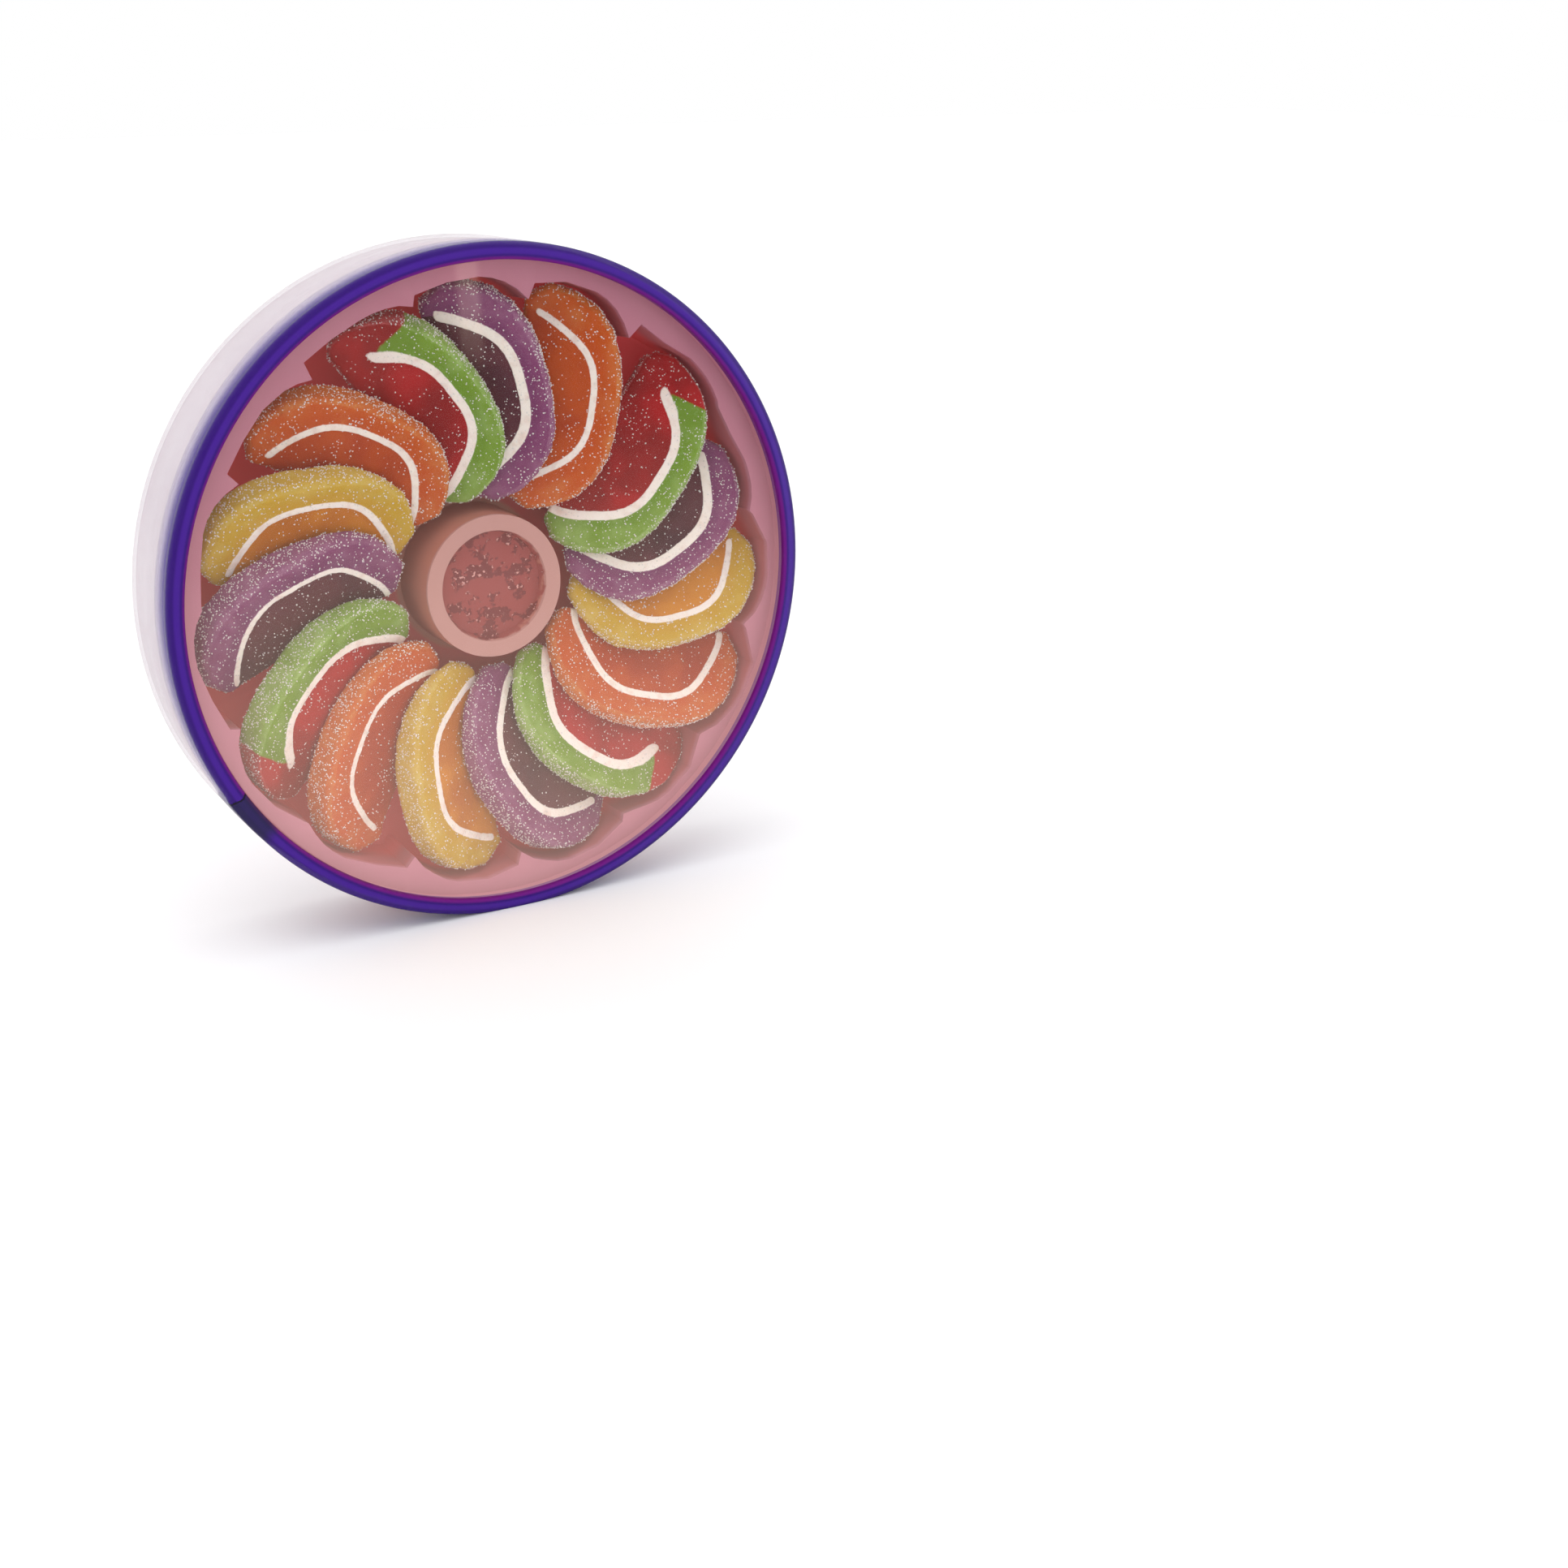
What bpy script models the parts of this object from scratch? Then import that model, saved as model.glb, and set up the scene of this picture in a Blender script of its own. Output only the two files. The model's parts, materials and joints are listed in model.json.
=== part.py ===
"""Round clear box of sugared fruit slice gummies, standing on its rim.

A purple lid ring holds a clear window over a clear cup. Inside hangs a pink formed tray
with a round boss in the middle, and fifteen fruit slices lie round the boss like the
blades of a fan, each leaning on the next one clockwise. Every slice has a body, a thin
white line and a rind, which run through its whole thickness.
Metres, +Z up, front towards -Y, origin on the floor under the middle of the box.
"""

import math

import bmesh
import bpy
from mathutils import Matrix, Vector

MM = 0.001
GAP = 0.3 * MM

# The box: a ring with a skirt, a window and a cup
RING_RADIUS = 85.0 * MM
RING_OPENING = 80.7 * MM
SKIRT_DEPTH = 10.6 * MM
SKIRT_WALL = 1.2 * MM
LIP_DEPTH = 2.9 * MM
WINDOW_FRONT = 1.0 * MM
WINDOW_THICKNESS = 0.8 * MM
CUP_RADIUS = 84.5 * MM
CUP_WALL = 1.0 * MM
CUP_CORNER = 3.0 * MM
CORNER_STEPS = 3
BOX_DEPTH = 32.5 * MM
AXIS_HEIGHT = 84.2 * MM
ROUND_STEPS = 64

# Where the end of the purple strip overlaps its start, clockwise from the top
SEAM_END = 240.0
SEAM_START = 231.0
SEAM_RISE = 0.35 * MM

# The tray
SHEET = 0.7 * MM
TRAY_LIP_FRONT = 3.2 * MM
TRAY_LIP_RADIUS = 83.3 * MM
TRAY_RIM_RADIUS = 81.6 * MM
FLANGE_DEPTH = 6.0 * MM
PIT_DEPTH = 24.0 * MM
PIT_RADIUS = 65.5 * MM
LOBE_RADIUS = 74.6 * MM
LOBE_MIDDLE = -1.4
LOBE_HALF_ANGLE = 6.4
LOBE_SIDE_ANGLE = 0.9
POCKET_ROOM = 0.5 * MM
REACH_ANGLE = 1.3
REACH_LAYERS = 5
HUB_RADIUS = 18.2 * MM
HUB_DEPTH = 7.6 * MM
HUB_WALL_RUN = 0.4 * MM
WELL_RADIUS = 14.2 * MM
WELL_DEPTH = 10.4 * MM
WALL_RUN = 0.6 * MM

# The slices
SLICE_COUNT = 15
SLOT = 360.0 / SLICE_COUNT
FIRST_SLOT = -6.0
SLICE_HALF_LENGTH = 28.4 * MM
SLICE_HEIGHT = 26.2 * MM
SLICE_FOOT = 1.2 * MM
SLICE_THICKNESS = 8.5 * MM
LEAST_THICKNESS = 1.6 * MM
SHOULDER_POWER = 2.6
END_CUT = 0.13
END_HEIGHT = 6.0 * MM
CORNER_RADIUS = 20.0 * MM
LINE_MIDDLE = 6.6 * MM
SLICE_TILT = 26.0
CHORD_DEPTH = 13.4 * MM
TOP_BEVEL = 1.3 * MM
CHORD_BEVEL = 0.8 * MM
FOOT_SHARE = 2.2
TIP_LENGTH = 8.5 * MM
TIP_SLANT = 1.2 * MM
TIP_STEPS = 4
ARC_STEPS = 14

# Each slice, clockwise from the top: flavour, degrees that it sits past its slot, mm from
# the axis to the middle of its straight edge, degrees that its outer end lags, size and
# the width of its white line in mm
LAYOUT = (
    ("grape", -3, 47.0, 4, 0.98, 2.3),
    ("orange", -4, 47.5, 4, 0.99, 1.5),
    ("melon", 3, 47.0, 7, 1.00, 2.0),
    ("grape", 2, 47.0, 8, 0.97, 2.3),
    ("lemon", -2, 50.0, 4, 0.98, 1.6),
    ("orange", -3, 49.5, 5, 1.05, 1.6),
    ("melon", -3, 48.0, 9, 1.03, 2.3),
    ("grape", -4, 47.5, 10, 1.03, 1.9),
    ("lemon", -3, 47.0, 9, 1.01, 1.6),
    ("orange", 0, 47.5, 6, 1.00, 1.4),
    ("melon", -1, 47.0, 12, 1.00, 1.9),
    ("grape", 2, 47.0, 14, 1.00, 1.3),
    ("lemon", 0, 46.5, 15, 0.97, 1.6),
    ("orange", 0, 46.0, 9, 0.94, 1.7),
    ("melon", 1, 46.0, 8, 0.96, 2.1),
)

COLOURS = {
    "grape": {"body": (0.085, 0.035, 0.075), "rind": (0.22, 0.075, 0.22)},
    "orange": {"body": (0.66, 0.16, 0.02), "rind": (0.80, 0.22, 0.03)},
    "melon": {"body": (0.50, 0.02, 0.03), "rind": (0.26, 0.45, 0.06)},
    "lemon": {"body": (0.58, 0.27, 0.04), "rind": (0.72, 0.45, 0.07)},
}
LINE_COLOUR = (0.86, 0.80, 0.74)


def clear_scene():
    for thing in list(bpy.data.objects):
        bpy.data.objects.remove(thing, do_unlink=True)


def finish(name, colour, roughness, alpha=1.0):
    """A plain surface of one colour."""
    material = bpy.data.materials.new(name)
    material.use_nodes = True
    surface = material.node_tree.nodes["Principled BSDF"]
    surface.inputs["Base Color"].default_value = (*colour, 1.0)
    surface.inputs["Roughness"].default_value = roughness
    surface.inputs["Metallic"].default_value = 0.0
    surface.inputs["Alpha"].default_value = alpha
    return material


def polar(angle, radius, depth):
    """A point in the box, its angle in degrees clockwise from the top, seen from the front."""
    turn = math.radians(angle)
    return Vector((radius * math.sin(turn), depth, radius * math.cos(turn)))


def add_object(name, work, material, parent, round_angle=40.0):
    bmesh.ops.recalc_face_normals(work, faces=work.faces)
    mesh = bpy.data.meshes.new(name)
    work.to_mesh(mesh)
    work.free()
    mesh.materials.append(material)
    mesh.shade_smooth()
    mesh.set_sharp_from_angle(angle=math.radians(round_angle))
    thing = bpy.data.objects.new(name, mesh)
    bpy.context.collection.objects.link(thing)
    thing.parent = parent
    return thing


def loft(rings, closed):
    """A solid through rings of points: closed on itself, or with an end face at each end."""
    work = bmesh.new()
    rows = [[work.verts.new(point) for point in ring] for ring in rings]
    pairs = list(zip(rows, rows[1:]))
    if closed:
        pairs.append((rows[-1], rows[0]))
    for first, second in pairs:
        size = len(first)
        for i in range(size):
            j = (i + 1) % size
            work.faces.new((first[i], first[j], second[j], second[i]))
    if not closed:
        work.faces.new(rows[0])
        work.faces.new(rows[-1])
    return work


def on_floor(point):
    """Lifts what would reach below the floor, which leaves a small flat to stand on."""
    return Vector((point.x, point.y, max(point.z, -AXIS_HEIGHT)))


def turned(profile_at):
    """A ring through profile_at(angle), a list of (radius, depth), at every step round."""
    rings = []
    for step in range(ROUND_STEPS):
        angle = (step + 0.5) * 360.0 / ROUND_STEPS
        rings.append([on_floor(polar(angle, r, y)) for r, y in profile_at(angle)])
    return loft(rings, closed=True)


def lid_ring(parent):
    """The purple ring: a rounded lip in front and a thin skirt down the side."""

    def profile(angle):
        rise = 0.0
        if SEAM_START <= angle <= SEAM_END:
            rise = SEAM_RISE * (angle - SEAM_START) / (SEAM_END - SEAM_START)
        outer = RING_RADIUS
        return [
            (RING_OPENING, LIP_DEPTH),
            (RING_OPENING, 0.8 * MM),
            (RING_OPENING + 0.8 * MM, 0.15 * MM),
            (RING_OPENING + 1.9 * MM, 0.0),
            (outer - 1.2 * MM, 0.35 * MM),
            (outer - 0.3 * MM, 1.3 * MM),
            (outer, 2.8 * MM),
            (outer - 0.1 * MM + rise, SKIRT_DEPTH),
            (outer - SKIRT_WALL, SKIRT_DEPTH),
            (outer - SKIRT_WALL, LIP_DEPTH),
        ]

    purple = finish("purple_plastic", (0.060, 0.014, 0.255), 0.18, 0.9)
    add_object("lid_ring", turned(profile), purple, parent)


def lid_window(parent):
    """The clear disc that the ring holds."""
    front = WINDOW_FRONT
    back = WINDOW_FRONT + WINDOW_THICKNESS
    rings = []
    for depth in (front, back):
        ring = []
        for step in range(ROUND_STEPS):
            angle = (step + 0.5) * 360.0 / ROUND_STEPS
            ring.append(polar(angle, RING_OPENING - GAP, depth))
        rings.append(ring)
    clear = finish("clear_film", (0.93, 0.93, 0.94), 0.05, 0.15)
    add_object("lid_window", loft(rings, closed=False), clear, parent)


def base_cup(parent):
    """The clear cup: a neck inside the skirt, a shoulder, a wall and a flat back."""
    neck = RING_RADIUS - SKIRT_WALL - GAP
    mouth = TRAY_LIP_FRONT + SHEET + GAP
    shoulder = SKIRT_DEPTH + GAP
    centre_r = CUP_RADIUS - CUP_CORNER
    centre_y = BOX_DEPTH - CUP_CORNER
    turns = [math.radians(90.0 * i / CORNER_STEPS) for i in range(CORNER_STEPS + 1)]

    def corner(radius, turn):
        return (centre_r + radius * math.cos(turn), centre_y + radius * math.sin(turn))

    outside = [(neck, mouth), (neck, shoulder), (CUP_RADIUS, shoulder)]
    outside += [corner(CUP_CORNER, turn) for turn in turns]
    inside = [corner(CUP_CORNER - CUP_WALL, turn) for turn in turns[::-1]]
    inside += [
        (CUP_RADIUS - CUP_WALL, shoulder + CUP_WALL),
        (neck - CUP_WALL, shoulder + CUP_WALL),
        (neck - CUP_WALL, mouth),
    ]
    work = bmesh.new()
    rows = []
    for step in range(ROUND_STEPS):
        angle = (step + 0.5) * 360.0 / ROUND_STEPS
        rows.append([work.verts.new(on_floor(polar(angle, r, y))) for r, y in outside + inside])
    count = len(outside)
    last = count + len(inside)
    for step, row in enumerate(rows):
        following = rows[(step + 1) % ROUND_STEPS]
        for i in range(last):
            j = (i + 1) % last
            if i != count - 1:
                work.faces.new((row[i], row[j], following[j], following[i]))
    for column in (count - 1, count):
        work.faces.new([row[column] for row in rows])
    clear = finish("clear_plastic", (0.90, 0.88, 0.91), 0.12, 0.35)
    add_object("base_cup", work, clear, parent)


class Slice:
    """Where one slice lies, and how its own flat coordinates map into the box."""

    def __init__(self, number, flavour, past, distance, lag, size, line_width):
        self.name = f"slice_{number + 1:02d}_{flavour}"
        self.flavour = flavour
        self.size = size
        self.line_near = LINE_MIDDLE - line_width * MM / 2.0
        self.line_far = LINE_MIDDLE + line_width * MM / 2.0
        angle = FIRST_SLOT + number * SLOT + past
        along = math.radians(angle - lag)
        tilt = math.radians(SLICE_TILT)
        side = Vector((math.cos(along), 0.0, -math.sin(along)))
        forward = Vector((0.0, -1.0, 0.0))
        self.along = Vector((math.sin(along), 0.0, math.cos(along)))
        self.rise = side * math.cos(tilt) + forward * math.sin(tilt)
        self.normal = forward * math.cos(tilt) - side * math.sin(tilt)
        self.origin = polar(angle, distance * MM, CHORD_DEPTH) - self.rise * SLICE_FOOT

    def point(self, x, y, below):
        return self.origin + self.along * x + self.rise * y - self.normal * below

    def thickness(self, x, y, under):
        """As thick as a slice is, or as the next slice under it leaves room for."""
        here = self.point(x, y, 0.0)
        room = (here - under.origin).dot(under.normal) / self.normal.dot(under.normal)
        return max(min(SLICE_THICKNESS * self.size, room - 1.5 * GAP), LEAST_THICKNESS)


def rim_point(angle, size):
    """A point of the slice's own edge: a flat arch with full shoulders, its ends drawn in
    a little where they meet the straight edge.
    """
    turn = math.radians(angle)
    across = math.cos(turn)
    up = math.sin(turn)
    reach = (abs(across) ** SHOULDER_POWER + up ** SHOULDER_POWER) ** (-1.0 / SHOULDER_POWER)
    y = SLICE_HEIGHT * up * reach
    drawn_in = END_CUT * max(1.0 - y / END_HEIGHT, 0.0) ** 2
    return Vector((SLICE_HALF_LENGTH * across * reach * (1.0 - drawn_in), y)) * size


def outline_point(angle, inset, size):
    """A point of the slice's edge, or of the curve that a layer follows at this inset.

    That curve is half a hexagon with wide round corners, flattened to the slice's height.
    angle runs from 0 at the outer end of the straight edge to 180 at the inner end.
    """
    if inset == 0.0:
        return rim_point(angle, size)
    sixth = math.pi / 6.0
    radius = CORNER_RADIUS - inset
    hexagon = SLICE_HALF_LENGTH + CORNER_RADIUS * (1.0 / math.cos(sixth) - 1.0)
    reach = hexagon - inset / math.cos(sixth)
    turn = math.radians(angle)
    off = abs((turn + sixth) % (2.0 * sixth) - sixth)
    centre = reach - radius / math.cos(sixth)
    arc = centre * math.cos(off) + math.sqrt(max(radius ** 2 - (centre * math.sin(off)) ** 2, 0.0))
    if math.atan2(arc * math.sin(off), arc * math.cos(off) - centre) > sixth:
        arc = reach * math.cos(sixth) / math.cos(sixth - off)
    flatten = (SLICE_HEIGHT - inset) / (hexagon * math.cos(sixth) - inset)
    return Vector((arc * math.cos(turn), arc * math.sin(turn) * flatten)) * size


def angle_at(x, inset, size):
    """The outline angle, past the outer end, where the edge moved in by inset reaches x."""
    low = 0.0
    high = 90.0
    for _ in range(30):
        middle = (low + high) / 2.0
        if outline_point(middle, inset, size).x > x:
            low = middle
        else:
            high = middle
    return (low + high) / 2.0


def angle_up(height, inset, size):
    """The outline angle where the edge moved in by inset has come up to this height."""
    low = 0.0
    high = 60.0
    for _ in range(30):
        middle = (low + high) / 2.0
        if outline_point(middle, inset, size).y < height:
            low = middle
        else:
            high = middle
    return (low + high) / 2.0


def spread(first, last):
    return [first + (last - first) * i / ARC_STEPS for i in range(ARC_STEPS + 1)]


def strip(piece, under, near, far, start_near, start_far, bevel):
    """A band between two insets of the curved edge, its ends square to the straight edge.

    near and far are the insets, bevel rounds the near side where it is the slice's edge.
    """
    rings = []
    size = piece.size
    for a_near, a_far in zip(spread(start_near, 180.0), spread(start_far, 180.0)):
        outer = outline_point(a_near, near, size)
        inner = outline_point(a_far, far, size)
        ring = [(inner, 0.0, 0.0), (inner, 1.0, 0.0)]
        if bevel:
            lean = (inner - outer).normalized() * bevel
            ring += [(outer + lean, 1.0, 0.0), (outer, 1.0, -bevel)]
            ring += [(outer, 0.0, bevel), (outer + lean, 0.0, 0.0)]
        else:
            ring += [(outer, 1.0, 0.0), (outer, 0.0, 0.0)]
        points = []
        for place, share, extra in ring:
            depth = piece.thickness(place.x, place.y, under) * share + extra
            points.append(piece.point(place.x, place.y, depth))
        rings.append(points)
    return loft(rings, closed=False)


def body(piece, under, inset, tip):
    """The flesh, from the white line down to the straight edge. tip adds the melon's end."""
    size = piece.size
    foot = CHORD_BEVEL
    end = angle_up(FOOT_SHARE * foot, inset, size)
    first = end
    columns = []
    if tip:
        cut = (SLICE_HALF_LENGTH - TIP_LENGTH) * size
        start = angle_up(FOOT_SHARE * foot, 0.0, size)
        last = angle_at(cut + TIP_SLANT, 0.0, size)
        corner = rim_point(0.0, size).x
        for i in range(TIP_STEPS + 1):
            share = i / TIP_STEPS
            high = rim_point(start + (last - start) * share, size)
            columns.append((high, corner + (cut + TIP_SLANT - corner) * share))
        first = angle_at(cut, inset, size)
    for angle in spread(first, 180.0 - end):
        edge = outline_point(angle, inset, size)
        columns.append((edge, edge.x))
    rings = []
    for high, x in columns:
        low = Vector((x, foot))
        chord = Vector((x, 0.0))
        ring = [
            (high, 0.0, 0.0),
            (high, 1.0, 0.0),
            (low, 1.0, 0.0),
            (chord, 1.0, -foot),
            (chord, 0.0, foot),
            (low, 0.0, 0.0),
        ]
        points = []
        for place, share, extra in ring:
            depth = piece.thickness(place.x, place.y, under) * share + extra
            points.append(piece.point(place.x, place.y, depth))
        rings.append(points)
    return loft(rings, closed=False)


def lobe_share(angle):
    """How far a pocket's outer end reaches beyond the pit at this angle, from 0 to 1."""
    past = (angle - FIRST_SLOT - LOBE_MIDDLE + SLOT / 2.0) % SLOT - SLOT / 2.0
    beyond = abs(past) - LOBE_HALF_ANGLE
    return min(max(1.0 - beyond / LOBE_SIDE_ANGLE, 0.0), 1.0)


def tray_angles():
    """The angles of the tray's spokes: the sides of each pocket's end, and between them."""
    side = LOBE_HALF_ANGLE
    edge = side + LOBE_SIDE_ANGLE
    step = (SLOT - edge - side) / 4.0
    offsets = (-edge, -side, 0.0, side, side + step, side + 2.0 * step, side + 3.0 * step)
    angles = []
    for slot in range(SLICE_COUNT):
        middle = FIRST_SLOT + LOBE_MIDDLE + slot * SLOT
        angles += [middle + offset for offset in offsets]
    return angles


def slice_edges(pieces):
    """Points on the slices' sides behind the tray's flange, as (angle, distance from the axis)."""
    edges = []
    for piece in pieces:
        for step in range(0, 181, 2):
            edge = outline_point(step, 0.0, piece.size)
            for layer in range(REACH_LAYERS + 1):
                below = piece.size * SLICE_THICKNESS * layer / REACH_LAYERS
                place = piece.point(edge.x, edge.y, below)
                if place.y > FLANGE_DEPTH - POCKET_ROOM:
                    edges.append((math.degrees(math.atan2(place.x, place.z)), math.hypot(place.x, place.z)))
    return edges


def slice_reach(angle, edges):
    """The furthest that any slice comes out near this angle, with room round it."""
    near = [reach for turn, reach in edges if abs((turn - angle + 180.0) % 360.0 - 180.0) < REACH_ANGLE]
    return max(near, default=0.0) + POCKET_ROOM


def tray_face(pit, behind):
    """One face of the tray along a spoke, from the middle outwards, behind the front face by
    this much on floors and walls alike.
    """
    return [
        (WELL_RADIUS - 0.8 * MM + behind, WELL_DEPTH + behind),
        (WELL_RADIUS + behind, HUB_DEPTH + behind),
        (HUB_RADIUS - behind, HUB_DEPTH + behind),
        (HUB_RADIUS + HUB_WALL_RUN - behind, PIT_DEPTH + behind),
        (pit + behind, PIT_DEPTH + behind),
        (pit + WALL_RUN + behind, FLANGE_DEPTH + behind),
        (TRAY_RIM_RADIUS - 0.4 * MM + 0.7 * behind, FLANGE_DEPTH + behind),
        (TRAY_RIM_RADIUS + 0.7 * behind, TRAY_LIP_FRONT + behind),
        (TRAY_LIP_RADIUS, TRAY_LIP_FRONT + behind),
    ]


def tray(parent, pieces):
    """The pink formed sheet that holds the slices."""
    work = bmesh.new()
    rows = []
    edges = slice_edges(pieces)
    for angle in tray_angles():
        pit = PIT_RADIUS + (LOBE_RADIUS - PIT_RADIUS) * lobe_share(angle)
        pit = max(pit, slice_reach(angle, edges))
        outline = tray_face(pit, 0.0) + tray_face(pit, SHEET)[::-1]
        rows.append([work.verts.new(polar(angle, r, y)) for r, y in outline])
    last = len(rows[0]) - 1
    for row, following in zip(rows, rows[1:] + rows[:1]):
        for i in range(last):
            work.faces.new((row[i], row[i + 1], following[i + 1], following[i]))
    for column in (0, last):
        work.faces.new([row[column] for row in rows])
    pink = finish("pink_tray", (0.52, 0.20, 0.24), 0.3, 0.8)
    add_object("tray", work, pink, parent)


def slices(parent, pieces):
    """Fifteen slices, each of a body, a white line and a rind."""
    line = finish("gummy_line", LINE_COLOUR, 0.5)
    skins = {}
    for flavour, colours in COLOURS.items():
        for layer, colour in colours.items():
            skins[flavour, layer] = finish(f"gummy_{flavour}_{layer}", colour, 0.5)
    for number, piece in enumerate(pieces):
        under = pieces[(number + 1) % SLICE_COUNT]
        size = piece.size
        tip = piece.flavour == "melon"
        line_near = piece.line_near
        line_far = piece.line_far
        rind_end = line_near - GAP
        starts = {inset: 0.0 for inset in (0.0, rind_end, line_near, line_far)}
        if tip:
            cut = (SLICE_HALF_LENGTH - TIP_LENGTH) * size - GAP
            starts[0.0] = angle_at(cut + TIP_SLANT, 0.0, size)
            for inset in (rind_end, line_near, line_far):
                starts[inset] = angle_at(cut, inset, size)
        rind = strip(piece, under, 0.0, rind_end, starts[0.0], starts[rind_end], TOP_BEVEL)
        add_object(f"{piece.name}_rind", rind, skins[piece.flavour, "rind"], parent)
        band = strip(piece, under, line_near, line_far, starts[line_near], starts[line_far], 0.0)
        add_object(f"{piece.name}_line", band, line, parent)
        flesh = body(piece, under, line_far + GAP, tip)
        add_object(f"{piece.name}_body", flesh, skins[piece.flavour, "body"], parent)


def main():
    clear_scene()
    axis = bpy.data.objects.new("box_axis", None)
    bpy.context.collection.objects.link(axis)
    axis.matrix_world = Matrix.Translation((0.0, -BOX_DEPTH / 2.0, AXIS_HEIGHT))
    lid_ring(axis)
    lid_window(axis)
    base_cup(axis)
    pieces = [Slice(number, *row) for number, row in enumerate(LAYOUT)]
    tray(axis, pieces)
    slices(axis, pieces)


main()
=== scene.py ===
import json
import math

import bpy
import numpy as np
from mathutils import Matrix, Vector
from mathutils.bvhtree import BVHTree

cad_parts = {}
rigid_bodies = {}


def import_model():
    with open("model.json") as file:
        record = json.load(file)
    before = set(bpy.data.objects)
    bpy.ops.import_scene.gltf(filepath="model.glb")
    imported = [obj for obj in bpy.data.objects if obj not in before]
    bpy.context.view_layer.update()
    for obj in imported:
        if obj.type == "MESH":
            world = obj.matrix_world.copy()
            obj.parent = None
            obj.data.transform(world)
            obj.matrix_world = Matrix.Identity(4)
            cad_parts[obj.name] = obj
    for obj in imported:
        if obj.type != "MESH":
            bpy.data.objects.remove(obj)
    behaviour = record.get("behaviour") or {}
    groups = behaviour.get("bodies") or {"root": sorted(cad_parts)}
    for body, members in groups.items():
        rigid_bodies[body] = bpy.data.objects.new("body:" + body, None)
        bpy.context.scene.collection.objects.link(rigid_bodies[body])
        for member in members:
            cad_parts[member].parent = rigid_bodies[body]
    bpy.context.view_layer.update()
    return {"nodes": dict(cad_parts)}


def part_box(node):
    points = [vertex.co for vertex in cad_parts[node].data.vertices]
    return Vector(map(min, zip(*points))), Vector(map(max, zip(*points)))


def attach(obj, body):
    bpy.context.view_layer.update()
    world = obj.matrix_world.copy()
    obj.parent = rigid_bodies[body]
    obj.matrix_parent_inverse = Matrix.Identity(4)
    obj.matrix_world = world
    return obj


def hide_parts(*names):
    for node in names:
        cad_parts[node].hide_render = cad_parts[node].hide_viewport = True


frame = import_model()


# The tray is one pink sheet of thin plastic, vacuum formed: a pocket for every slice round
# a raised boss with a dished top. Its outer lip hangs over the rim of the clear cup.

MM = 0.001
MERGE = 0.01 * MM
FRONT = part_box("lid_ring")[0].y
AXIS_HEIGHT = 84.2 * MM
AXIS = Vector((0.0, FRONT, AXIS_HEIGHT))
TRAY_SHEET = 0.6 * MM
TRAY_LIP = 83.0
TRAY_EDGE_ROUND = 0.9 * MM
TRAY_EDGE_ANGLE = math.radians(25.0)
TRAY_FLAT_ANGLE = math.radians(4.0)
TRAY_QUAD_ANGLE = math.radians(120.0)
FLANGE_DEPTH = 6.0
WELL_EDGE = 13.9
WELL_DEPTH = 10.4
FRONT_SIDE = WELL_DEPTH + 0.3
HUB_EDGE = 18.4
HUB_DEPTH = 7.6


def alone(*things):
    """Leaves edit mode, selects these objects alone and makes the last one active."""
    if bpy.context.mode != "OBJECT":
        bpy.ops.object.mode_set(mode="OBJECT")
    bpy.ops.object.select_all(action="DESELECT")
    for thing in things:
        thing.select_set(True)
    bpy.context.view_layer.objects.active = things[-1]
    return things[-1]


def depth_of(point):
    """Millimetres behind the front of the box."""
    return (point.y - FRONT) / MM


def radius_of(point):
    """Millimetres from the axis of the box."""
    return math.hypot(point.x, point.z - AXIS_HEIGHT) / MM


def angle_of(point):
    """Degrees clockwise from the top of the box, seen from the front."""
    return math.degrees(math.atan2(point.x, point.z - AXIS_HEIGHT)) % 360.0


def pick(thing, wanted):
    """Goes into edit mode with only the vertices selected whose place is wanted."""
    alone(thing)
    bpy.ops.object.mode_set(mode="EDIT")
    bpy.ops.mesh.select_mode(type="VERT")
    bpy.ops.mesh.select_all(action="DESELECT")
    bpy.ops.object.mode_set(mode="OBJECT")
    for vertex in thing.data.vertices:
        vertex.select = wanted(vertex.co)
    bpy.ops.object.mode_set(mode="EDIT")


def finish_with(thing, kind, **settings):
    """Adds a modifier with these settings and applies it."""
    alone(thing)
    bpy.ops.object.modifier_add(type=kind)
    modifier = thing.modifiers[-1]
    for key, value in settings.items():
        setattr(modifier, key, value)
    bpy.ops.object.modifier_apply(modifier=modifier.name)


def merged_copy(node, name):
    """A copy of a solid of the frame, its loose triangles joined up."""
    alone(frame["nodes"][node])
    bpy.ops.object.duplicate()
    piece = bpy.context.view_layer.objects.active
    piece.name = name
    piece.parent = None
    for key in list(piece.keys()):
        del piece[key]
    bpy.ops.object.mode_set(mode="EDIT")
    bpy.ops.mesh.select_all(action="SELECT")
    bpy.ops.mesh.remove_doubles(threshold=MERGE)
    bpy.ops.mesh.customdata_custom_splitnormals_clear()
    bpy.ops.object.mode_set(mode="OBJECT")
    piece.data.materials.clear()
    return piece


def smooth_shade(thing, angle):
    alone(thing)
    bpy.ops.object.shade_smooth_by_angle(angle=math.radians(angle))


def paint(red, green, blue):
    """A colour as read off a screen, 0 to 255, as the light that a shader works in."""
    screen = [value / 255.0 for value in (red, green, blue)]
    light = [s / 12.92 if s <= 0.04045 else ((s + 0.055) / 1.055) ** 2.4 for s in screen]
    return (*light, 1.0)


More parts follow.
